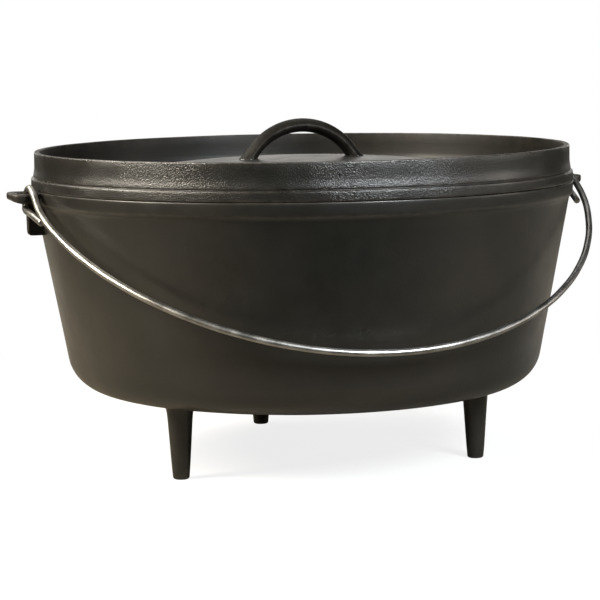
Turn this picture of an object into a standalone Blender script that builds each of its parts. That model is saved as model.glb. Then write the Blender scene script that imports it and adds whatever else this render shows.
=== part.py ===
# A three-legged cast iron camp oven: a pot with its legs and bail ears cast on, a flanged lid with its
# loop handle cast on, and a wire bail hooked into the ears. Metres, +Z up, ears along X, the bail to -Y.
import math

import bmesh
import bpy
from mathutils import Vector

# Pot
LEG_HEIGHT = 0.0512
FLOOR_THICKNESS = 0.0057
WALL_THICKNESS = 0.0049
WALL_LEAN = math.radians(10.43)
WALL_FOOT_RADIUS = 0.16396
WALL_FOOT_HEIGHT = 0.0719
OUTER_FILLET = 0.0255
INNER_FILLET = 0.0200
POT_TOP = 0.1902
RIM_RADIUS = 0.1865

# Legs
LEG_CIRCLE = 0.1203
LEG_ANGLES = (90, 210, 330)
LEG_TOP_RADIUS = 0.0091
LEG_FOOT_RADIUS = 0.0056

# Ears
EAR_TIP = 0.2041
EAR_TOP = 0.1894
EAR_THICKNESS = 0.0068
EAR_HALF_WIDTH = 0.0170
SLOT_CENTRE = 0.1936
SLOT_HALF_LENGTH = 0.0090
SLOT_HALF_WIDTH = 0.0048
RIB_THICKNESS = 0.0060

# Lid
LID_BOTTOM = 0.1905
LID_TOP = 0.2149
LID_RADIUS = 0.1840
LID_FLARE = 0.1864
PLATE_THICKNESS = 0.0050
DOME_CENTRE = 0.2080
DOME_EDGE_RADIUS = 0.1740
DOME_RISE = 0.0166
LOCATING_RADIUS = 0.1776

# Loop handle
LOOP_RADIUS = 0.0430
LOOP_CENTRE = 0.1864
LOOP_THICKNESS = 0.0096
LOOP_WIDTH = 0.0122
LOOP_HALF_SWEEP = math.radians(66)

# Bail
WIRE_RADIUS = 0.00225
HINGE_Y = -0.0130
HINGE_Z = 0.1860
BAIL_REST = math.radians(-60)
EYE_RADIUS = 0.00725
EYE_X = 0.1917
TAIL_X = 0.1949
TAIL_SLOPE = math.radians(17.5)
TAIL_LENGTH = 0.0315
TAIL_LEAN = 0.0054
ARCH_RADIUS = 0.1921
ARCH_SQUARING = 0.0011
ARCH_PULL = 0.0033
ARCH_POINTS = 21

TURN_STEPS = 80
IRON = (0.030, 0.027, 0.024, 1.0)
ZINC = (0.62, 0.62, 0.60, 1.0)


def clear_scene():
    for obj in list(bpy.data.objects):
        bpy.data.objects.remove(obj, do_unlink=True)


def material(name, colour, roughness, metallic):
    made = bpy.data.materials.new(name)
    made.use_nodes = True
    shader = made.node_tree.nodes["Principled BSDF"]
    shader.inputs["Base Color"].default_value = colour
    shader.inputs["Roughness"].default_value = roughness
    shader.inputs["Metallic"].default_value = metallic
    return made


def add_object(name, bm, surface=None):
    bmesh.ops.recalc_face_normals(bm, faces=bm.faces)
    mesh = bpy.data.meshes.new(name)
    bm.to_mesh(mesh)
    bm.free()
    mesh.shade_smooth()
    mesh.set_sharp_from_angle(angle=math.radians(35))
    obj = bpy.data.objects.new(name, mesh)
    bpy.context.scene.collection.objects.link(obj)
    if surface:
        mesh.materials.append(surface)
    return obj


def arc(centre_r, centre_z, radius, start, end, steps):
    """Points of a circular corner, angles in degrees from the outward direction."""
    points = []
    for i in range(steps + 1):
        angle = math.radians(start + (end - start) * i / steps)
        points.append((centre_r + radius * math.cos(angle), centre_z + radius * math.sin(angle)))
    return points


def turned(profile, steps):
    """A closed body turned about Z from a profile of (radius, height) that starts and ends on the axis."""
    bm = bmesh.new()
    ring = [bm.verts.new((r, 0.0, z)) for r, z in profile]
    for a, b in zip(ring, ring[1:]):
        bm.edges.new((a, b))
    bmesh.ops.spin(
        bm, geom=bm.verts[:] + bm.edges[:], cent=(0, 0, 0), axis=(0, 0, 1),
        angle=math.tau, steps=steps, use_merge=True,
    )
    bmesh.ops.remove_doubles(bm, verts=bm.verts, dist=1e-6)
    return bm


def join(obj, others):
    """Unions others into obj and drops them."""
    for other in others:
        union = obj.modifiers.new("union", "BOOLEAN")
        union.operation = "UNION"
        union.solver = "EXACT"
        union.object = other
        other.hide_render = True
        other.display_type = "WIRE"


def wall_radius(z, inward=0.0):
    return WALL_FOOT_RADIUS + math.tan(WALL_LEAN) * (z - WALL_FOOT_HEIGHT) - inward / math.cos(WALL_LEAN)


def pot_profile():
    lean = math.degrees(WALL_LEAN)
    outer_z = LEG_HEIGHT + OUTER_FILLET
    outer_r = wall_radius(outer_z, OUTER_FILLET)
    floor = LEG_HEIGHT + FLOOR_THICKNESS
    inner_z = floor + INNER_FILLET
    inner_r = wall_radius(inner_z, WALL_THICKNESS + INNER_FILLET)
    profile = [(0.0, LEG_HEIGHT)]
    profile += arc(outer_r, outer_z, OUTER_FILLET, -90, -lean, 6)
    profile += [
        (wall_radius(0.1755), 0.1755),
        (RIM_RADIUS - 0.0031, 0.1776),
        (RIM_RADIUS - 0.0021, 0.1797),
        (RIM_RADIUS - 0.0010, 0.1815),
        (RIM_RADIUS - 0.0003, 0.1840),
        (RIM_RADIUS, 0.1885),
        (RIM_RADIUS - 0.0003, 0.1897),
        (RIM_RADIUS - 0.0010, POT_TOP),
        (wall_radius(POT_TOP, WALL_THICKNESS) + 0.0008, POT_TOP),
        (wall_radius(POT_TOP - 0.0008, WALL_THICKNESS), POT_TOP - 0.0008),
    ]
    profile += arc(inner_r, inner_z, INNER_FILLET, -lean, -90, 5)
    profile.append((0.0, floor))
    return profile


def leg(angle):
    """A tapered round leg with a fillet under the pot and a rounded foot."""
    taper = (LEG_TOP_RADIUS - LEG_FOOT_RADIUS) / LEG_HEIGHT
    profile = [(0.0, 0.0)]
    profile += arc(LEG_FOOT_RADIUS - 0.0015, 0.0015, 0.0015, -90, 0, 3)
    profile += [
        (LEG_FOOT_RADIUS + taper * 0.042, 0.0420),
        (LEG_TOP_RADIUS - 0.0001, 0.0465),
        (LEG_TOP_RADIUS + 0.0009, 0.0492),
        (LEG_TOP_RADIUS + 0.0027, 0.0510),
        (LEG_TOP_RADIUS + 0.0034, 0.0535),
        (0.0, 0.0535),
    ]
    obj = add_object(f"leg_{angle}", turned(profile, 16))
    obj.location = (
        LEG_CIRCLE * math.cos(math.radians(angle)),
        LEG_CIRCLE * math.sin(math.radians(angle)),
        0.0,
    )
    return obj


def loop_of(bm, points, z):
    ring = [bm.verts.new((x, y, z)) for x, y in points]
    return [bm.edges.new((a, b)) for a, b in zip(ring, ring[1:] + ring[:1])]


def rounded_outline(x0, x1, half, corner0, corner1, steps):
    """A rectangle in plan with round corners, corner0 at x0 and corner1 at x1, anticlockwise from x1."""
    points = []
    for x, y, radius, start in (
        (x1 - corner1, half - corner1, corner1, 0),
        (x0 + corner0, half - corner0, corner0, 90),
        (x0 + corner0, -half + corner0, corner0, 180),
        (x1 - corner1, -half + corner1, corner1, 270),
    ):
        for i in range(steps + 1):
            angle = math.radians(start + 90 * i / steps)
            points.append((x + radius * math.cos(angle), y + radius * math.sin(angle)))
    return points


def ear_tab(side):
    """The flat tab with the slot that the bail hooks through, thinner towards its tip."""
    bm = bmesh.new()
    outer = rounded_outline(0.1815, EAR_TIP, EAR_HALF_WIDTH, 0.0010, 0.0070, 4)
    slot_corner = 0.0020
    inner = rounded_outline(
        SLOT_CENTRE - SLOT_HALF_WIDTH, SLOT_CENTRE + SLOT_HALF_WIDTH, SLOT_HALF_LENGTH, slot_corner, slot_corner, 4
    )
    edges = loop_of(bm, outer, EAR_TOP) + loop_of(bm, inner, EAR_TOP)
    top = bmesh.ops.bridge_loops(bm, edges=edges)["faces"]
    made = bmesh.ops.extrude_face_region(bm, geom=top, use_keep_orig=True)
    lower = [v for v in made["geom"] if isinstance(v, bmesh.types.BMVert)]
    bmesh.ops.translate(bm, verts=lower, vec=(0, 0, -EAR_THICKNESS))
    for vert in lower:
        reach = max(0.0, vert.co.x - 0.1940) / (EAR_TIP - 0.1940)
        vert.co.z += 0.0022 * reach * reach
    bmesh.ops.recalc_face_normals(bm, faces=bm.faces)
    rims = [e for e in bm.edges if len(e.link_faces) == 2 and e.calc_face_angle() > math.radians(60)]
    rims = [e for e in rims if abs(e.verts[0].co.z - e.verts[1].co.z) < 0.003 and max(v.co.x for v in e.verts) > 0.186]
    bmesh.ops.bevel(
        bm, geom=rims, offset=0.0020, segments=2, affect="EDGES", profile=0.5, material=-1, clamp_overlap=True
    )
    if side < 0:
        bmesh.ops.scale(bm, verts=bm.verts, vec=(-1, 1, 1))
    return add_object(f"tab_{side}", bm)


def ear_rib(side):
    """The upright rib that carries the tab."""
    outline = (
        (0.1822, 0.1836), (0.1912, 0.1836), (0.1918, 0.1820), (0.1927, 0.1793), (0.1923, 0.1627),
        (0.1916, 0.1611), (0.1900, 0.1605), (0.1780, 0.1605),
    )
    bm = bmesh.new()
    face = bm.faces.new([bm.verts.new((x, -RIB_THICKNESS / 2, z)) for x, z in outline])
    made = bmesh.ops.extrude_face_region(bm, geom=[face], use_keep_orig=True)
    moved = [v for v in made["geom"] if isinstance(v, bmesh.types.BMVert)]
    bmesh.ops.translate(bm, verts=moved, vec=(0, RIB_THICKNESS, 0))
    bmesh.ops.recalc_face_normals(bm, faces=bm.faces)
    outer = [
        e for e in bm.edges
        if abs(e.verts[0].co.y - e.verts[1].co.y) < 1e-6
        and min(e.verts[0].co.x, e.verts[1].co.x) > 0.1902
        and max(e.verts[0].co.z, e.verts[1].co.z) < 0.1828
    ]
    bmesh.ops.bevel(bm, geom=outer, offset=0.0012, segments=2, affect="EDGES", profile=0.5, material=-1)
    if side < 0:
        bmesh.ops.scale(bm, verts=bm.verts, vec=(-1, 1, 1))
    return add_object(f"rib_{side}", bm)


def pot(surface):
    body = add_object("pot", turned(pot_profile(), TURN_STEPS), surface)
    extras = [leg(angle) for angle in LEG_ANGLES]
    for side in (1, -1):
        extras += [ear_tab(side), ear_rib(side)]
    join(body, extras)
    return body


def lid_profile():
    """From the plate's underside at the axis, out under the flange, up the rim and back over the plate."""
    under = DOME_CENTRE - PLATE_THICKNESS
    profile = [(0.0, under)]
    for i in range(1, 8):
        r = 0.1715 * i / 7
        profile.append((r, under - DOME_RISE * (r / DOME_EDGE_RADIUS) ** 2))
    profile += [
        (0.1748, 0.1868),
        (0.1766, 0.1876),
        (LOCATING_RADIUS, 0.1892),
        (LOCATING_RADIUS + 0.0003, LID_BOTTOM),
        (LID_FLARE - 0.0006, LID_BOTTOM),
        (LID_FLARE - 0.0001, LID_BOTTOM + 0.0005),
        (LID_FLARE, LID_BOTTOM + 0.0013),
        (LID_FLARE - 0.0003, 0.1936),
        (LID_FLARE - 0.0007, 0.1963),
        (LID_FLARE - 0.0009, 0.1977),
        (LID_FLARE - 0.0014, 0.1982),
        (LID_RADIUS + 0.00055, 0.2004),
        (LID_RADIUS + 0.00020, 0.2024),
        (LID_RADIUS, 0.2043),
        (LID_RADIUS, LID_TOP - 0.0010),
        (LID_RADIUS - 0.0003, LID_TOP - 0.0003),
        (LID_RADIUS - 0.0010, LID_TOP),
        (LID_RADIUS - 0.0028, LID_TOP),
        (LID_RADIUS - 0.0036, LID_TOP - 0.0008),
        (LID_RADIUS - 0.0042, 0.1995),
        (LID_RADIUS - 0.0050, 0.1962),
        (LID_RADIUS - 0.0068, 0.1935),
    ]
    for i in range(8):
        r = DOME_EDGE_RADIUS * (1 - i / 8)
        lift = 0.0004 if i == 0 else 0.0
        profile.append((r, DOME_CENTRE + lift - DOME_RISE * (r / DOME_EDGE_RADIUS) ** 2))
    profile.append((0.0, DOME_CENTRE))
    return profile


def loop_handle():
    """An arch of oval section with a slight ridge round its outer side, its feet spread into the plate."""
    bm = bmesh.new()
    section = bmesh.ops.create_circle(bm, cap_ends=False, segments=12, radius=0.5)["verts"]
    turn = math.cos(LOOP_HALF_SWEEP), math.sin(LOOP_HALF_SWEEP)
    for vert in section:
        across, out = vert.co.x * LOOP_WIDTH, vert.co.y * LOOP_THICKNESS
        reach = LOOP_RADIUS + out
        vert.co = Vector((reach * turn[1], across, LOOP_CENTRE + reach * turn[0]))
    swept = bmesh.ops.spin(
        bm, geom=section + bm.edges[:], cent=(0, 0, LOOP_CENTRE), axis=(0, 1, 0),
        angle=-2 * LOOP_HALF_SWEEP, steps=24,
    )
    bmesh.ops.remove_doubles(bm, verts=bm.verts, dist=1e-6)
    bmesh.ops.holes_fill(bm, edges=[e for e in bm.edges if e.is_boundary], sides=0)
    for vert in bm.verts:
        low = max(0.0, 0.2125 - vert.co.z) / 0.0070
        spread = 1 + 0.20 * min(1.0, low) ** 2
        vert.co.y *= spread
    return add_object("loop", bm)


def lid(surface):
    plate = add_object("lid", turned(lid_profile(), TURN_STEPS), surface)
    join(plate, [loop_handle()])
    return plate


def eye_points(side):
    """The hook at one end, from its tail round the ear's bar to the arch, in the bail's own frame."""
    points = []
    leave = math.pi + TAIL_SLOPE
    start = Vector((-math.sin(leave), math.cos(leave))) * EYE_RADIUS
    along = Vector((math.cos(TAIL_SLOPE), math.sin(TAIL_SLOPE)))
    for share in (1.0, 0.66, 0.33):
        down, out = start + along * TAIL_LENGTH * share
        points.append((TAIL_X - TAIL_LEAN * share, out, down))
    for i in range(6):
        angle = leave * (1 - i / 5)
        down, out = Vector((-math.sin(angle), math.cos(angle))) * EYE_RADIUS
        points.append((TAIL_X + (EYE_X - TAIL_X) * i / 5, out, down))
    return [Vector((side * x, -out, -down)) for x, out, down in points]


def arch_points():
    """The hand-bent arch, from the left ear to the right: nearly a half circle, pulled a little to one side."""
    points = []
    for i in range(1, ARCH_POINTS - 1):
        angle = math.pi * (1 - i / (ARCH_POINTS - 1))
        radius = ARCH_RADIUS + ARCH_SQUARING * math.cos(4 * angle) + ARCH_PULL * math.sin(2 * angle)
        points.append(Vector((radius * math.cos(angle), -EYE_RADIUS, -radius * math.sin(angle))))
    return points


def bail(surface):
    path = eye_points(-1)
    path += arch_points()
    path += reversed(eye_points(1))
    curve = bpy.data.curves.new("bail", "CURVE")
    curve.dimensions = "3D"
    curve.resolution_u = 3
    curve.bevel_depth = WIRE_RADIUS
    curve.bevel_resolution = 3
    curve.use_fill_caps = True
    spline = curve.splines.new("BEZIER")
    spline.bezier_points.add(len(path) - 1)
    for point, co in zip(spline.bezier_points, path):
        point.co = co
        point.handle_left_type = "AUTO"
        point.handle_right_type = "AUTO"
    curve.materials.append(surface)
    obj = bpy.data.objects.new("bail", curve)
    bpy.context.scene.collection.objects.link(obj)
    obj.location = (0, HINGE_Y, HINGE_Z)
    obj.rotation_euler = (BAIL_REST, 0, 0)
    return obj


clear_scene()
pot(material("pot_iron", IRON, 0.50, 0.0))
lid(material("lid_iron", IRON, 0.48, 0.0))
bail(material("bail_wire", ZINC, 0.28, 1.0))
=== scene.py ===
import math

import bmesh
import bpy
from mathutils import Matrix, Vector, noise


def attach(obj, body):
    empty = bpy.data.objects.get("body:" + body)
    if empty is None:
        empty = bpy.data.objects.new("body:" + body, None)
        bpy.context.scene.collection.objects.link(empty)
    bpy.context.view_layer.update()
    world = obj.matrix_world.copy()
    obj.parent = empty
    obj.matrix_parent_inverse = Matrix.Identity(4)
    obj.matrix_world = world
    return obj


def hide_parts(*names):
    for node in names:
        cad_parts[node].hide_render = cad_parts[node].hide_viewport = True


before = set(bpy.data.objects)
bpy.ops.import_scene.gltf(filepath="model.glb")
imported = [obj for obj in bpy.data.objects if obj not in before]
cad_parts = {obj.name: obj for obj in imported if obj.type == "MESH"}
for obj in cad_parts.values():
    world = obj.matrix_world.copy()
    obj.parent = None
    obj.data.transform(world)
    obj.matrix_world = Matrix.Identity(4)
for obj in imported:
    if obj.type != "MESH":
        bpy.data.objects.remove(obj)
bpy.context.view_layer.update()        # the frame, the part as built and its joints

print("frame loaded:", ", ".join(sorted(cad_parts)))


def arcPoints(centre, radius, start, end, steps):
    # a round corner in the (radius, height) plane, angles in degrees from outwards
    points = []
    for i in range(steps + 1):
        angle = math.radians(start + (end - start) * i / steps)
        points.append((centre[0] + radius * math.cos(angle), centre[1] + radius * math.sin(angle)))
    return points


def turnProfile(profile, steps):
    # turned about the upright axis; the profile starts and ends on it
    bm = bmesh.new()
    ring = [bm.verts.new((r, 0, z)) for r, z in profile]
    for a, b in zip(ring, ring[1:]):
        bm.edges.new((a, b))
    bmesh.ops.spin(bm, geom=bm.verts[:] + bm.edges[:], cent=(0, 0, 0), axis=(0, 0, 1),
                   angle=math.tau, steps=steps, use_merge=True)
    bmesh.ops.remove_doubles(bm, verts=bm.verts, dist=1e-6)
    bmesh.ops.recalc_face_normals(bm, faces=bm.faces)
    return bm


def addInto(target, source, move=(0, 0, 0), flip=False):
    # copies one mesh in progress into another, mirrored across the ears' line if asked
    if flip:
        bmesh.ops.scale(source, verts=source.verts, vec=(-1, 1, 1))
        bmesh.ops.reverse_faces(source, faces=source.faces)
    bmesh.ops.translate(source, verts=source.verts, vec=move)
    part = bpy.data.meshes.new("part")
    source.to_mesh(part)
    source.free()
    target.from_mesh(part)
    bpy.data.meshes.remove(part)


def sandWaves(bm, depth, size):
    # a sand mould never leaves a perfectly true surface
    bm.normal_update()
    shift = [(v, v.normal * depth * noise.noise(v.co / size)) for v in bm.verts]
    for vert, move in shift:
        vert.co += move


def markEdges(bm, flat, sharp):
    # how far each point stands on an outward edge, for the rubbed edges in the finish
    worn = bm.verts.layers.float.new("edgeRub")
    for vert in bm.verts:
        turn = 0.0
        for edge in vert.link_edges:
            if len(edge.link_faces) == 2:
                span = sum(f.calc_area() for f in edge.link_faces) / max(edge.calc_length(), 1e-7)
                turn = max(turn, edge.calc_face_angle_signed(0.0) / max(span, 1e-7) * 2)
        vert[worn] = min(1.0, max(0.0, (turn - flat) / (sharp - flat)))
    for _ in range(2):
        soft = {}
        for vert in bm.verts:
            near = [e.other_vert(vert)[worn] for e in vert.link_edges]
            soft[vert] = 0.5 * vert[worn] + 0.5 * sum(near) / max(1, len(near))
        for vert, value in soft.items():
            vert[worn] = value


def finishPiece(name, bm, surfaces, body, node):
    mesh = bpy.data.meshes.new(name)
    bm.to_mesh(mesh)
    bm.free()
    mesh.shade_smooth()
    for surface in surfaces:
        mesh.materials.append(surface)
    piece = bpy.data.objects.new(name, mesh)
    bpy.context.scene.collection.objects.link(piece)
    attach(piece, body)
    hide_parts(node)
    print(name, len(mesh.polygons), "faces")


def addNode(tree, kind, inputs=None, **settings):
    node = tree.nodes.new(kind)
    for key, value in settings.items():
        setattr(node, key, value)
    for key, value in (inputs or {}).items():
        node.inputs[key].default_value = value
    return node


def newSurface(name):
    surface = bpy.data.materials.new(name)
    surface.use_nodes = True
    return surface, surface.node_tree, surface.node_tree.nodes["Principled BSDF"]


def noiseAt(tree, place, scale, detail, rough=0.5):
    node = addNode(tree, "ShaderNodeTexNoise", {"Scale": scale, "Detail": detail, "Roughness": rough})
    tree.links.new(place, node.inputs["Vector"])
    return node.outputs["Fac"]


def mapRange(tree, source, ends, levels=(0.0, 1.0), curve="LINEAR"):
    inputs = {"From Min": ends[0], "From Max": ends[1], "To Min": levels[0], "To Max": levels[1]}
    node = addNode(tree, "ShaderNodeMapRange", inputs, interpolation_type=curve)
    tree.links.new(source, node.inputs["Value"])
    return node.outputs["Result"]


def multiply(tree, first, second):
    node = addNode(tree, "ShaderNodeMath", operation="MULTIPLY")
    tree.links.new(first, node.inputs[0])
    tree.links.new(second, node.inputs[1])
    return node.outputs["Value"]


def twoTone(tree, source, ends, colours):
    node = addNode(tree, "ShaderNodeValToRGB")
    for stop, position, colour in zip(node.color_ramp.elements, ends, colours):
        stop.position = position
        stop.color = colour
    tree.links.new(source, node.inputs["Fac"])
    return node.outputs["Color"]


def mixColour(tree, share, under, over):
    # the colour over covers what lies under it by the share
    node = addNode(tree, "ShaderNodeMix", {"B": over}, data_type="RGBA")
    tree.links.new(share, node.inputs["Factor"])
    tree.links.new(under, node.inputs["A"])
    return node.outputs["Result"]


def bumpOn(tree, height, depth, under=None, strength=1.0):
    node = addNode(tree, "ShaderNodeBump", {"Distance": depth, "Strength": strength})
    tree.links.new(height, node.inputs["Height"])
    if under is not None:
        tree.links.new(under.outputs["Normal"], node.inputs["Normal"])
    return node


def castIron(name, look):
    surface, tree, shader = newSurface(name)
    link = tree.links.new
    place = addNode(tree, "ShaderNodeTexCoord").outputs["Object"]
    rub = addNode(tree, "ShaderNodeAttribute", attribute_name="edgeRub").outputs["Fac"]

    # colour: oil-baked brown black, in soft clouds, with rusty flecks and rubbed edges
    cloudNoise = noiseAt(tree, place, look["cloudScale"], 4.0, 0.6)
    clouds = twoTone(tree, cloudNoise, (0.34, 0.68), (look["dark"], look["light"]))
    fleckNoise = noiseAt(tree, place, look["fleckScale"], 3.0, 0.65)
    fleckShare = mapRange(tree, fleckNoise, (0.66, 0.78), (0.0, look["flecks"]))
    flecked = mixColour(tree, fleckShare, clouds, look["fleck"])
    rubNoise = noiseAt(tree, place, look["rubScale"], 3.0)
    rubShare = multiply(tree, rub, mapRange(tree, rubNoise, (0.35, 0.65)))
    link(mixColour(tree, rubShare, flecked, look["rubbed"]), shader.inputs["Base Color"])

    # gloss: patchy where the oil pooled, smoother on rubbed edges
    glossNoise = noiseAt(tree, place, look["cloudScale"] * 2.3, 5.0, 0.6)
    gloss = mapRange(tree, glossNoise, (0.3, 0.7), (look["glossy"], look["dull"]))
    edgeGloss = addNode(tree, "ShaderNodeMath", {1: -look["rubPolish"]},
                        operation="MULTIPLY_ADD", use_clamp=True)
    link(rubShare, edgeGloss.inputs[0])
    link(gloss, edgeGloss.inputs[2])
    link(edgeGloss.outputs["Value"], shader.inputs["Roughness"])
    shader.inputs["IOR"].default_value = 1.5
    shader.inputs["Specular IOR Level"].default_value = look["shine"]

    # grain: ridges and pebbles left by the sand, finer grit over them, and a few pits
    ridges = addNode(tree, "ShaderNodeTexNoise",
                     {"Scale": look["pebbleScale"], "Detail": 2.0, "Roughness": 0.45, "Distortion": 0.6})
    cells = addNode(tree, "ShaderNodeTexVoronoi",
                    {"Scale": look["pebbleScale"] * 0.9, "Smoothness": 1.0}, feature="SMOOTH_F1")
    for pattern in (ridges, cells):
        link(place, pattern.inputs["Vector"])
    pebbles = addNode(tree, "ShaderNodeMath", {1: -0.35}, operation="MULTIPLY_ADD")
    link(cells.outputs["Distance"], pebbles.inputs[0])
    link(ridges.outputs["Fac"], pebbles.inputs[2])
    coarse = bumpOn(tree, pebbles.outputs["Value"], look["pebbleDepth"])
    if look["pebbleMask"]:
        mask = addNode(tree, "ShaderNodeAttribute", attribute_name="pebbled").outputs["Fac"]
        patches = mapRange(tree, noiseAt(tree, place, look["patchScale"], 2.0), (0.35, 0.6), (0.55, 1.0))
        link(multiply(tree, mask, patches), coarse.inputs["Strength"])
    gritNoise = noiseAt(tree, place, look["gritScale"], 4.0, 0.6)
    grit = bumpOn(tree, gritNoise, look["gritDepth"], coarse)
    pits = mapRange(tree, noiseAt(tree, place, look["pitScale"], 1.0), (0.20, 0.27))
    pitted = bumpOn(tree, pits, look["pitDepth"], grit, strength=0.7)
    link(pitted.outputs["Normal"], shader.inputs["Normal"])
    return surface


potFinish = {
    "dark": (0.0052, 0.0051, 0.0041, 1), "light": (0.0098, 0.0086, 0.0068, 1), "cloudScale": 14.0,
    "fleck": (0.030, 0.019, 0.012, 1), "flecks": 0.25, "fleckScale": 120.0,
    "rubbed": (0.030, 0.026, 0.021, 1), "rubScale": 160.0, "rubPolish": 0.08,
    "glossy": 0.32, "dull": 0.42, "shine": 0.5,
    "pebbleScale": 520.0, "pebbleDepth": 0.00005, "pebbleMask": False,
    "gritScale": 1500.0, "gritDepth": 0.00002, "pitScale": 260.0, "pitDepth": 0.00006,
}
lidFinish = {
    "dark": (0.0048, 0.0048, 0.0039, 1), "light": (0.0092, 0.0082, 0.0066, 1), "cloudScale": 18.0,
    "fleck": (0.032, 0.020, 0.012, 1), "flecks": 0.3, "fleckScale": 140.0,
    "rubbed": (0.034, 0.029, 0.024, 1), "rubScale": 160.0, "rubPolish": 0.08,
    "glossy": 0.27, "dull": 0.37, "shine": 0.5,
    "pebbleScale": 1250.0, "pebbleDepth": 0.0009, "pebbleMask": True, "patchScale": 22.0,
    "gritScale": 1900.0, "gritDepth": 0.00005, "pitScale": 260.0, "pitDepth": 0.00006,
}
# the ears, the inside of the lid's rim and the loop are duller; the inside of the rim and the loop are also
# painted darker, as painted shade
earFinish = dict(potFinish, glossy=0.40, dull=0.50, shine=0.20)
innerShadedFinish = dict(lidFinish, dark=(0.0036, 0.0034, 0.0027, 1), light=(0.0072, 0.0062, 0.0048, 1),
                   glossy=0.40, dull=0.50, shine=0.17)
loopShadedFinish = dict(innerShadedFinish, glossy=0.42, dull=0.54, shine=0.07)


# the pot with its wall, rim bead, legs and ears is one casting
pot = {
    "turns": 240, "floorZ": 0.0512, "floorThick": 0.0057, "wall": 0.0049, "lean": 10.43,
    "footR": 0.16396, "footZ": 0.0719, "outerFillet": 0.0255, "innerFillet": 0.0200,
    "topZ": 0.1902, "rimR": 0.1865,
}
legs = {"circle": 0.1203, "angles": (90, 210, 330), "topR": 0.0091, "footR": 0.0056, "turns": 48}
ears = {
    "root": 0.1815, "tip": 0.2041, "top": 0.1894, "thick": 0.0068, "half": 0.0170, "edge": 0.0010,
    "droopX": 0.1940, "droop": 0.0022, "slotX": 0.1936, "slotHalfX": 0.0048, "slotHalfY": 0.0090,
    "rib": 0.0060, "ribFrom": 0.158, "ribTo": 0.183, "spread": 0.16, "grain": 0.0006,
}


def potWallR(z, inward=0.0):
    lean = math.radians(pot["lean"])
    return pot["footR"] + math.tan(lean) * (z - pot["footZ"]) - inward / math.cos(lean)


def rimBead(inward=0.0):
    r = pot["rimR"] - inward
    return [
        (potWallR(0.1740, inward), 0.1740), (potWallR(0.1765, inward), 0.1765),
        (potWallR(0.1782, inward) + 0.00005, 0.1782), (r - 0.00262, 0.1791), (r - 0.00225, 0.1799),
        (r - 0.00175, 0.1805), (r - 0.00120, 0.1810), (r - 0.00080, 0.1816), (r - 0.00055, 0.1824),
        (r - 0.00040, 0.1835), (r - 0.00025, 0.1850), (r - 0.0001, 0.1870), (r, 0.1885),
    ]


def potProfile():
    lean = pot["lean"]
    outerZ = pot["floorZ"] + pot["outerFillet"]
    floorTop = pot["floorZ"] + pot["floorThick"]
    innerZ = floorTop + pot["innerFillet"]
    profile = [(0, pot["floorZ"])] + [(r, pot["floorZ"]) for r in (0.03, 0.06, 0.09, 0.12)]
    profile += arcPoints((potWallR(outerZ, pot["outerFillet"]), outerZ), pot["outerFillet"], -90, -lean, 18)
    profile += [(potWallR(z), z) for z in (0.09, 0.11, 0.13, 0.15, 0.165)]
    profile += rimBead()
    lip = pot["rimR"] - 0.0005
    profile += arcPoints((lip, pot["topZ"] - 0.0005), 0.0005, 0, 90, 4)
    inside = potWallR(pot["topZ"], pot["wall"])
    profile += arcPoints((inside + 0.0012, pot["topZ"] - 0.0010), 0.0010, 90, 170, 4)
    profile += [(potWallR(z, pot["wall"]), z) for z in (0.187, 0.165, 0.145, 0.125, 0.105, 0.09)]
    innerCentre = (potWallR(innerZ, pot["wall"] + pot["innerFillet"]), innerZ)
    profile += arcPoints(innerCentre, pot["innerFillet"], -lean, -90, 14)
    profile += [(r, floorTop) for r in (0.12, 0.09, 0.06, 0.03)] + [(0, floorTop)]
    return profile


def legMesh():
    foot = legs["footR"]
    grow = (legs["topR"] - foot) / pot["floorZ"]
    profile = [(0, 0), (foot * 0.45, 0)]
    profile += arcPoints((foot - 0.0016, 0.0016), 0.0016, -90, 0, 6)
    profile += [(foot + grow * z, z) for z in (0.008, 0.016, 0.024, 0.032, 0.040)]
    profile += [(foot + grow * 0.0440 + 0.0001, 0.0440), (legs["topR"] + 0.0001, 0.0466),
                (legs["topR"] + 0.0007, 0.0484), (legs["topR"] + 0.0017, 0.0498),
                (legs["topR"] + 0.0033, 0.0508), (legs["topR"] + 0.0056, 0.0514),
                (legs["topR"] + 0.0060, 0.0530), (0, 0.0530)]
    return turnProfile(profile, legs["turns"])


def roundedLoop(bm, x0, x1, half, corner0, corner1, z):
    points = []
    for x, y, radius, start in (
        (x1 - corner1, half - corner1, corner1, 0), (x0 + corner0, half - corner0, corner0, 90),
        (x0 + corner0, -half + corner0, corner0, 180), (x1 - corner1, -half + corner1, corner1, 270),
    ):
        points += arcPoints((x, y), radius, start, start + 90, 8)
    ring = [bm.verts.new((x, y, z)) for x, y in points]
    return [bm.edges.new((a, b)) for a, b in zip(ring, ring[1:] + ring[:1])]


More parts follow.
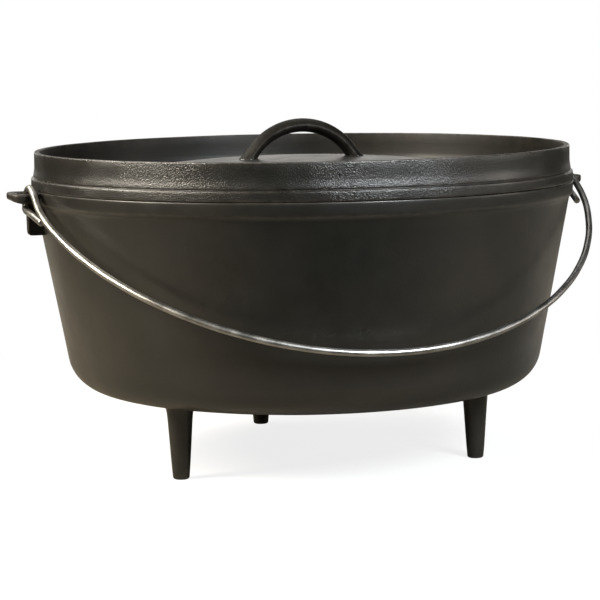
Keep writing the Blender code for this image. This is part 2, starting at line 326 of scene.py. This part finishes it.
def earTab():
    bm = bmesh.new()
    edges = roundedLoop(bm, ears["root"], ears["tip"], ears["half"], 0.0010, 0.0070, ears["top"])
    x, half = ears["slotX"], ears["slotHalfX"]
    edges += roundedLoop(bm, x - half, x + half, ears["slotHalfY"], 0.0022, 0.0022, ears["top"])
    top = bmesh.ops.bridge_loops(bm, edges=edges)["faces"]
    made = bmesh.ops.extrude_face_region(bm, geom=top, use_keep_orig=True)["geom"]
    lower = [v for v in made if isinstance(v, bmesh.types.BMVert)]
    bmesh.ops.translate(bm, verts=lower, vec=(0, 0, -ears["thick"]))
    for vert in lower:
        reach = max(0.0, vert.co.x - ears["droopX"]) / (ears["tip"] - ears["droopX"])
        vert.co.z += ears["droop"] * reach * reach
    bmesh.ops.recalc_face_normals(bm, faces=bm.faces)
    rims = [e for e in bm.edges if e.calc_face_angle(0) > 1.0 and max(v.co.x for v in e.verts) > 0.186
            and abs(e.verts[0].co.z - e.verts[1].co.z) < 0.003]
    bmesh.ops.bevel(bm, geom=rims, offset=ears["edge"], segments=3, affect="EDGES", profile=0.5,
                    material=-1, clamp_overlap=True)
    return bm


def earRib():
    # its inner end lies inside the wall
    outline = ((0.1822, 0.1836), (0.1912, 0.1836), (0.1918, 0.1820), (0.1927, 0.1793),
               (0.1923, 0.1627), (0.1916, 0.1611), (0.1900, 0.1605), (0.1780, 0.1605))
    bm = bmesh.new()
    face = bm.faces.new([bm.verts.new((x, -ears["rib"] / 2, z)) for x, z in outline])
    made = bmesh.ops.extrude_face_region(bm, geom=[face], use_keep_orig=True)["geom"]
    moved = [v for v in made if isinstance(v, bmesh.types.BMVert)]
    bmesh.ops.translate(bm, verts=moved, vec=(0, ears["rib"], 0))
    bmesh.ops.recalc_face_normals(bm, faces=bm.faces)
    return bm


def wallPatch():
    # a slice of the wall just under its skin, so that the ear grows out of it with a cast fillet
    outer = [(potWallR(z, 0.0004), z) for z in (0.150, 0.160, 0.168)] + rimBead(0.0004)
    inner = [(r - 0.0032, z) for r, z in reversed(outer)]
    bm = bmesh.new()
    ring = [bm.verts.new((r, 0, z)) for r, z in outer + inner]
    face = bm.faces.new(ring)
    start = Matrix.Rotation(-ears["spread"], 3, "Z")
    bmesh.ops.rotate(bm, verts=bm.verts, cent=(0, 0, 0), matrix=start)
    bmesh.ops.spin(bm, geom=[face] + face.edges[:] + ring, cent=(0, 0, 0), axis=(0, 0, 1),
                   angle=2 * ears["spread"], steps=14)
    bmesh.ops.holes_fill(bm, edges=[e for e in bm.edges if e.is_boundary], sides=0)
    bmesh.ops.recalc_face_normals(bm, faces=bm.faces)
    return bm


def earMesh():
    rough = bmesh.new()
    for part in (earTab(), earRib(), wallPatch()):
        addInto(rough, part)
    mesh = bpy.data.meshes.new("earRough")
    rough.to_mesh(mesh)
    rough.free()
    block = bpy.data.objects.new("earRough", mesh)
    bpy.context.scene.collection.objects.link(block)
    cast = block.modifiers.new("cast", "REMESH")
    cast.mode = "VOXEL"
    cast.voxel_size = ears["grain"]
    ease = block.modifiers.new("ease", "SMOOTH")
    ease.factor = 0.5
    ease.iterations = 6
    bpy.context.view_layer.update()
    shaped = block.evaluated_get(bpy.context.evaluated_depsgraph_get())
    bm = bmesh.new()
    bm.from_mesh(shaped.to_mesh())
    shaped.to_mesh_clear()
    bpy.data.objects.remove(block, do_unlink=True)
    bpy.data.meshes.remove(mesh)
    return bm


def onRib(point):
    beside, high = abs(point.y) < 0.005, ears["ribFrom"] < point.z < ears["ribTo"]
    return beside and high and abs(point.x) > potWallR(point.z) + 0.0005


def makePot():
    bm = turnProfile(potProfile(), pot["turns"])
    sandWaves(bm, depth=0.00012, size=0.035)
    for angle in legs["angles"]:
        turn = math.radians(angle)
        addInto(bm, legMesh(), (legs["circle"] * math.cos(turn), legs["circle"] * math.sin(turn), 0))
    for flip in (False, True):
        addInto(bm, earMesh(), flip=flip)
    for face in bm.faces:
        middle = face.calc_center_median()
        face.material_index = 1 if abs(middle.x) > pot["rimR"] + 0.0003 or onRib(middle) else 0
    markEdges(bm, flat=90.0, sharp=500.0)
    surfaces = [castIron("pot iron", potFinish), castIron("ear iron", earFinish)]
    finishPiece("potCasting", bm, surfaces, "pot", "pot")


makePot()


# the lid with its domed plate, seating flange, upright rim and loop handle is one casting
lid = {
    "turns": 256, "bottomZ": 0.1905, "topZ": 0.2149, "rimR": 0.1840, "flareR": 0.1864,
    "plate": 0.0050, "underR": 0.1715, "domeZ": 0.2080, "domeR": 0.1740, "rise": 0.0166,
    "shoulderR": 0.1776, "trayR": 0.1712, "coarse": (-140, -90), "coarseSpread": 17,
    "bandGrain": 0.22, "coarseGrain": 0.36, "grainDrift": 0.08, "plateGrain": 0.025,
}
loop = {
    "radius": 0.0430, "centreZ": 0.1864, "thick": 0.0094, "wide": 0.0128, "sweep": 66.0,
    "seam": 0.0003, "seamWide": 0.0008, "footTop": 0.2140, "footTall": 0.0070, "footX": 0.0378,
    "reach": 0.06, "grain": 0.07,
}


def domeZ(r, below=0.0):
    return lid["domeZ"] - below - lid["rise"] * (r / lid["domeR"]) ** 2


def lidProfile():
    flare, rim = lid["flareR"], lid["rimR"]
    under = [lid["underR"] * i / 14 for i in range(15)]
    profile = [(r, domeZ(r, lid["plate"])) for r in under]
    profile += [(0.1733, 0.1865), (0.1750, 0.1867), (0.1762, 0.1872), (0.1770, 0.1880), (0.1775, 0.1890),
                (lid["shoulderR"], 0.1900), (lid["shoulderR"] + 0.0003, lid["bottomZ"])]
    # the flange, with the fine groove above it
    profile += arcPoints((flare - 0.0008, lid["bottomZ"] + 0.0008), 0.0008, -90, 0, 4)
    profile += [(flare, 0.1922), (flare, 0.1940), (flare - 0.00005, 0.1955), (flare - 0.0001, 0.1966),
                (flare - 0.00025, 0.1971), (flare - 0.0012, 0.1974), (flare - 0.0019, 0.1976),
                (flare - 0.0020, 0.1979), (flare - 0.0016, 0.1983)]
    # the upright rim, up its outside and down its inside
    profile += [(rim + 0.00080, 0.1989), (rim + 0.00056, 0.2004), (rim + 0.00032, 0.2018),
                (rim + 0.00015, 0.2031), (rim + 0.00003, 0.2045), (rim, 0.2065), (rim, 0.2100)]
    profile += arcPoints((rim - 0.0009, lid["topZ"] - 0.0009), 0.0009, 0, 90, 5)
    profile += arcPoints((rim - 0.0028, lid["topZ"] - 0.0007), 0.0007, 90, 175, 5)
    profile += [(rim - 0.0036, 0.2070), (rim - 0.0037, 0.2005), (rim - 0.0040, 0.1980),
                (rim - 0.0046, 0.1961), (rim - 0.0055, 0.1947), (rim - 0.0067, 0.1936),
                (rim - 0.0081, 0.1926), (rim - 0.0094, 0.19195)]
    profile += [(r, domeZ(r)) for r in (0.1728, 0.170, 0.166, 0.160, 0.152, 0.142, 0.130, 0.116, 0.102,
                                        0.088, 0.074, 0.060, 0.046, 0.032, 0.018, 0.008)]
    profile.append((0, lid["domeZ"]))
    return profile


def loopHandle():
    bm = bmesh.new()
    section = bmesh.ops.create_circle(bm, cap_ends=False, segments=28, radius=0.5)["verts"]
    sweep = math.radians(loop["sweep"])
    for vert in section:
        angle = math.atan2(vert.co.y, vert.co.x)
        across = math.copysign(abs(math.cos(angle)) ** 1.4, math.cos(angle)) * 0.5 * loop["wide"]
        out = math.copysign(abs(math.sin(angle)) ** 1.15, math.sin(angle)) * 0.5 * loop["thick"]
        # the mould's parting line runs round the loop
        seam = math.exp(-(out / loop["seamWide"]) ** 2) * loop["seam"]
        across += math.copysign(seam, across)
        reach = loop["radius"] + out
        vert.co = Vector((reach * math.sin(sweep), across, loop["centreZ"] + reach * math.cos(sweep)))
    bmesh.ops.spin(bm, geom=section + bm.edges[:], cent=(0, 0, loop["centreZ"]), axis=(0, 1, 0),
                   angle=-2 * sweep, steps=96)
    bmesh.ops.remove_doubles(bm, verts=bm.verts, dist=1e-6)
    bmesh.ops.holes_fill(bm, edges=[e for e in bm.edges if e.is_boundary], sides=0)
    bmesh.ops.recalc_face_normals(bm, faces=bm.faces)
    # both feet spread where they run into the plate
    for vert in bm.verts:
        if vert.co.z < loop["footTop"]:
            side = math.copysign(1.0, vert.co.x)
            low = min(1.0, (loop["footTop"] - vert.co.z) / loop["footTall"])
            middle = Vector((side * loop["footX"], 0, vert.co.z))
            vert.co.x = middle.x + (vert.co.x - middle.x) * (1 + 0.22 * low ** 2) + side * 0.0010 * low ** 2
            vert.co.y *= 1 + 0.08 * low + 0.25 * low ** 4
    return bm


def makeLid():
    bm = turnProfile(lidProfile(), lid["turns"])
    sandWaves(bm, depth=0.00014, size=0.028)
    addInto(bm, loopHandle())
    pebbled = bm.verts.layers.float.new("pebbled")
    for vert in bm.verts:
        r, z = math.hypot(vert.co.x, vert.co.y), vert.co.z
        if r > lid["rimR"] - 0.0012:
            # the band outside, coarser where the sand was rammed less
            bearing = math.degrees(math.atan2(vert.co.y, vert.co.x))
            coarse = sum(math.exp(-((bearing - spot) / lid["coarseSpread"]) ** 2) for spot in lid["coarse"])
            drift = lid["grainDrift"] * noise.noise(vert.co / 0.03)
            vert[pebbled] = lid["bandGrain"] + lid["coarseGrain"] * min(1.0, coarse) + drift
        elif r < loop["reach"] and z > domeZ(r) + 0.0015:
            vert[pebbled] = loop["grain"]
        else:
            vert[pebbled] = lid["plateGrain"]
    # the inside of the rim and the loop take the darker finishes, which are painted shade
    for face in bm.faces:
        middle = face.calc_center_median()
        r = math.hypot(middle.x, middle.y)
        onLoop = r < loop["reach"] and middle.z > domeZ(r) + 0.0002
        inRim = lid["trayR"] < r < lid["rimR"] - 0.0006 and middle.z > domeZ(r) - 0.0010
        face.material_index = 2 if onLoop else 1 if inRim else 0
    markEdges(bm, flat=90.0, sharp=600.0)
    surfaces = [castIron("lid iron", lidFinish), castIron("rim inside iron, painted shade", innerShadedFinish),
                castIron("loop iron, painted shade", loopShadedFinish)]
    finishPiece("lidCasting", bm, surfaces, "lid", "lid")


makeLid()


# the bail is one bent wire, hooked through both ears
bail = {
    "wire": 0.00225, "hingeY": -0.0130, "hingeZ": 0.1860, "rest": -60.0, "eye": 0.00725, "eyeX": 0.1917,
    "tailX": 0.1949, "tailSlope": 17.5, "tailLength": {-1: 0.0315, 1: 0.0275}, "tailLean": 0.0054,
    "radius": 0.1921, "squaring": 0.0011, "pull": 0.0033, "points": 21,
}
wireFinish = {
    "dark": (0.22, 0.216, 0.205, 1), "light": (0.36, 0.352, 0.335, 1), "dullScale": 90.0,
    "glossy": 0.30, "dull": 0.44, "gritScale": 1800.0, "gritDepth": 0.00003,
}


def eyePath(side):
    path = []
    slope = math.radians(bail["tailSlope"])
    leave = math.pi + slope
    start = Vector((-math.sin(leave), math.cos(leave))) * bail["eye"]
    along = Vector((math.cos(slope), math.sin(slope)))
    for share in (1.0, 0.66, 0.33):
        down, out = start + along * bail["tailLength"][side] * share
        path.append((bail["tailX"] - bail["tailLean"] * share, out, down))
    for i in range(6):
        angle = leave * (1 - i / 5)
        down, out = Vector((-math.sin(angle), math.cos(angle))) * bail["eye"]
        path.append((bail["tailX"] + (bail["eyeX"] - bail["tailX"]) * i / 5, out, down))
    return [Vector((side * x, -out, -down)) for x, out, down in path]


def archPath():
    path = []
    for i in range(1, bail["points"] - 1):
        angle = math.pi * (1 - i / (bail["points"] - 1))
        r = bail["radius"] + bail["squaring"] * math.cos(4 * angle) + bail["pull"] * math.sin(2 * angle)
        path.append(Vector((r * math.cos(angle), -bail["eye"], -r * math.sin(angle))))
    return path


def zincWire(name, look):
    surface, tree, shader = newSurface(name)
    link = tree.links.new
    place = addNode(tree, "ShaderNodeTexCoord").outputs["Object"]
    dulling = noiseAt(tree, place, look["dullScale"], 4.0, 0.6)
    link(twoTone(tree, dulling, (0.3, 0.7), (look["dark"], look["light"])), shader.inputs["Base Color"])
    shader.inputs["Metallic"].default_value = 1.0
    link(mapRange(tree, dulling, (0.3, 0.7), (look["glossy"], look["dull"])), shader.inputs["Roughness"])
    grit = bumpOn(tree, noiseAt(tree, place, look["gritScale"], 3.0), look["gritDepth"])
    link(grit.outputs["Normal"], shader.inputs["Normal"])
    return surface


def makeBail():
    path = eyePath(-1) + archPath() + list(reversed(eyePath(1)))
    curve = bpy.data.curves.new("bailCurve", "CURVE")
    curve.dimensions = "3D"
    curve.resolution_u = 10
    curve.bevel_depth = bail["wire"]
    curve.bevel_resolution = 7
    curve.use_fill_caps = True
    spline = curve.splines.new("BEZIER")
    spline.bezier_points.add(len(path) - 1)
    for point, co in zip(spline.bezier_points, path):
        point.co = co
        point.handle_left_type = "AUTO"
        point.handle_right_type = "AUTO"
    rod = bpy.data.objects.new("bailCurve", curve)
    bpy.context.scene.collection.objects.link(rod)
    rod.location = (0, bail["hingeY"], bail["hingeZ"])
    rod.rotation_euler = (math.radians(bail["rest"]), 0, 0)
    bpy.context.view_layer.update()
    shaped = rod.evaluated_get(bpy.context.evaluated_depsgraph_get())
    bm = bmesh.new()
    bm.from_mesh(shaped.to_mesh())
    bm.transform(rod.matrix_world)
    shaped.to_mesh_clear()
    bpy.data.objects.remove(rod, do_unlink=True)
    bmesh.ops.remove_doubles(bm, verts=bm.verts, dist=1e-6)
    bmesh.ops.recalc_face_normals(bm, faces=bm.faces)
    ends = [e for e in bm.edges if e.calc_face_angle(0) > 1.0]
    bmesh.ops.bevel(bm, geom=ends, offset=0.0005, segments=3, affect="EDGES", profile=0.5, material=-1)
    finishPiece("bailWire", bm, [zincWire("zinc wire", wireFinish)], "bail", "bail")


makeBail()


# bearings are directions on the ground, edges are distances on it from the middle of the pot
studio = {
    "eye": (-0.42693, -1.46047, 0.29620), "turn": (82.9338, 0.8495, -16.2988), "lens": 131.85,
    "floor": (0.86, 0.86, 0.85, 1), "floorR": 6.0, "fade": (0.26, 0.55), "backdrop": 1.0,
    "bounce": (0.20, 0.178, 0.143, 1), "bounceEdge": (0.50, 0.85),
    "card": (-0.182, -0.983, 0.0), "cardSide": (0.55, 0.90), "cardEdge": (0.27, 0.37),
    "sweep": (0.33, 0.307, 0.27, 1), "sweepTo": (0.474, 0.880, 0.0), "sweepSide": (0.25, 0.70),
    "sweepNear": (0.22, 0.34), "sweepEdge": (1.2, 1.9),
    "backTo": (0.281, 0.960, 0.0), "backSide": (0.84, 0.97), "backTop": (0.16, 0.36),
    "backTint": (1.0, 0.965, 0.91, 1), "frontFill": 0.035, "backFill": 1.2,
    "aim": (0, 0, 0.15),
}
softboxes = [
    {"name": "keyLeft", "azimuth": -177.0, "height": 30.0, "away": 1.6, "wide": 0.6, "tall": 0.6,
     "watts": 74.0, "tint": (1.0, 0.92, 0.78)},
    {"name": "keyRight", "azimuth": -72.0, "height": 30.0, "away": 1.6, "wide": 0.5, "tall": 0.5,
     "watts": 50.0, "tint": (0.92, 0.97, 1.0)},
    {"name": "overhead", "azimuth": 74.0, "height": 50.0, "away": 1.8, "wide": 1.2, "tall": 0.5,
     "watts": 7.0, "tint": (1.0, 0.98, 0.94)},
    {"name": "fillRight", "azimuth": -22.0, "height": 13.0, "away": 1.7, "wide": 0.7, "tall": 0.5,
     "watts": 5.5, "tint": (1.0, 0.93, 0.86)},
    {"name": "edgeLeft", "azimuth": 133.0, "height": 42.0, "away": 1.7, "wide": 0.5, "tall": 0.6,
     "watts": 14.0, "tint": (1.0, 0.95, 0.86)},
]


def softRange(tree, source, ends, levels=(0.0, 1.0)):
    return mapRange(tree, source, ends, levels, "SMOOTHSTEP")


def facing(tree, direction, towards):
    node = addNode(tree, "ShaderNodeVectorMath", {1: towards}, operation="DOT_PRODUCT")
    tree.links.new(direction, node.inputs[0])
    return node.outputs["Value"]


def paleFloor():
    surface, tree, shader = newSurface("pale floor")
    link = tree.links.new
    shader.inputs["Roughness"].default_value = 0.9
    shader.inputs["Specular IOR Level"].default_value = 0.0
    place = addNode(tree, "ShaderNodeTexCoord").outputs["Object"]
    rays = addNode(tree, "ShaderNodeLightPath").outputs["Is Camera Ray"]
    distance = addNode(tree, "ShaderNodeVectorMath", operation="LENGTH")
    link(place, distance.inputs[0])
    reach = distance.outputs["Value"]
    direction = addNode(tree, "ShaderNodeVectorMath", operation="NORMALIZE")
    link(place, direction.inputs[0])
    bearing = direction.outputs["Vector"]

    # what the iron mirrors: a warm table top that ends, with a dark card in front of the pot
    card = softRange(tree, facing(tree, bearing, studio["card"]), studio["cardSide"], (1.0, 0.06))
    carded = addNode(tree, "ShaderNodeMix", {"A": 1.0}, data_type="FLOAT")
    link(softRange(tree, reach, studio["cardEdge"]), carded.inputs["Factor"])
    link(card, carded.inputs["B"])
    edge = softRange(tree, reach, studio["bounceEdge"], (1.0, 0.06))
    bounce = addNode(tree, "ShaderNodeMix", {"A": (0, 0, 0, 1), "B": studio["bounce"]}, data_type="RGBA")
    link(multiply(tree, carded.outputs["Result"], edge), bounce.inputs["Factor"])

    # and a pale sweep behind it
    sweepSide = softRange(tree, facing(tree, bearing, studio["sweepTo"]), studio["sweepSide"])
    sweepNear = softRange(tree, reach, studio["sweepNear"])
    sweepFar = softRange(tree, reach, studio["sweepEdge"], (1.0, 0.1))
    sweepShare = multiply(tree, sweepSide, multiply(tree, sweepNear, sweepFar))
    mirrored = mixColour(tree, sweepShare, bounce.outputs["Result"], studio["sweep"])
    link(mixColour(tree, rays, mirrored, studio["floor"]), shader.inputs["Base Color"])

    # what the camera sees fades into the white backdrop
    glow = addNode(tree, "ShaderNodeEmission", {"Color": (1, 1, 1, 1), "Strength": studio["backdrop"]})
    seen = multiply(tree, softRange(tree, reach, studio["fade"], (0.82, 1.0)), rays)
    mix = addNode(tree, "ShaderNodeMixShader")
    link(seen, mix.inputs["Fac"])
    link(shader.outputs["BSDF"], mix.inputs[1])
    link(glow.outputs["Emission"], mix.inputs[2])
    link(mix.outputs["Shader"], tree.nodes["Material Output"].inputs["Surface"])
    return surface


def makeFloor():
    bm = bmesh.new()
    bmesh.ops.create_circle(bm, cap_ends=True, segments=96, radius=studio["floorR"])
    mesh = bpy.data.meshes.new("floor")
    bm.to_mesh(mesh)
    bm.free()
    mesh.materials.append(paleFloor())
    floor = bpy.data.objects.new("floor", mesh)
    bpy.context.scene.collection.objects.link(floor)


def makeWorld():
    world = bpy.data.worlds.new("studio")
    bpy.context.scene.world = world
    world.use_nodes = True
    tree = world.node_tree
    link = tree.links.new
    back = tree.nodes["Background"]
    direction = addNode(tree, "ShaderNodeTexCoord").outputs["Generated"]
    # a bright backdrop behind the pot, and a darker room on the other sides
    behind = softRange(tree, facing(tree, direction, studio["backTo"]), studio["backSide"],
                       (studio["frontFill"], studio["backFill"]))
    height = addNode(tree, "ShaderNodeSeparateXYZ")
    link(direction, height.inputs["Vector"])
    low = softRange(tree, height.outputs["Z"], studio["backTop"], (1.0, 0.15))
    link(multiply(tree, behind, low), back.inputs["Strength"])
    back.inputs["Color"].default_value = studio["backTint"]
    seen = addNode(tree, "ShaderNodeBackground", {"Color": (1, 1, 1, 1), "Strength": studio["backdrop"]})
    rays = addNode(tree, "ShaderNodeLightPath")
    mix = addNode(tree, "ShaderNodeMixShader")
    link(rays.outputs["Is Camera Ray"], mix.inputs["Fac"])
    link(back.outputs["Background"], mix.inputs[1])
    link(seen.outputs["Background"], mix.inputs[2])
    link(mix.outputs["Shader"], tree.nodes["World Output"].inputs["Surface"])


def makeSoftbox(box):
    light = bpy.data.lights.new(box["name"], "AREA")
    light.shape = "RECTANGLE"
    light.size = box["wide"]
    light.size_y = box["tall"]
    light.energy = box["watts"]
    light.color = box["tint"]
    lamp = bpy.data.objects.new(box["name"], light)
    bpy.context.scene.collection.objects.link(lamp)
    turn, lift = math.radians(box["azimuth"]), math.radians(box["height"])
    aim = Vector(studio["aim"])
    offset = Vector((math.cos(turn) * math.cos(lift), math.sin(turn) * math.cos(lift), math.sin(lift)))
    lamp.location = aim + offset * box["away"]
    lamp.rotation_euler = (-offset).to_track_quat("-Z", "Y").to_euler()
    lamp.visible_camera = False


def makeCamera():
    camera = bpy.data.cameras.new("camera")
    camera.lens = studio["lens"]
    camera.sensor_width = 36.0
    camera.clip_start = 0.05
    camera.clip_end = 50.0
    view = bpy.data.objects.new("camera", camera)
    bpy.context.scene.collection.objects.link(view)
    view.location = studio["eye"]
    view.rotation_euler = [math.radians(a) for a in studio["turn"]]
    bpy.context.scene.camera = view


makeFloor()
makeWorld()
for box in softboxes:
    makeSoftbox(box)
makeCamera()
bpy.context.scene.view_settings.view_transform = "Standard"
bpy.context.scene.view_settings.look = "None"
print("studio ready")
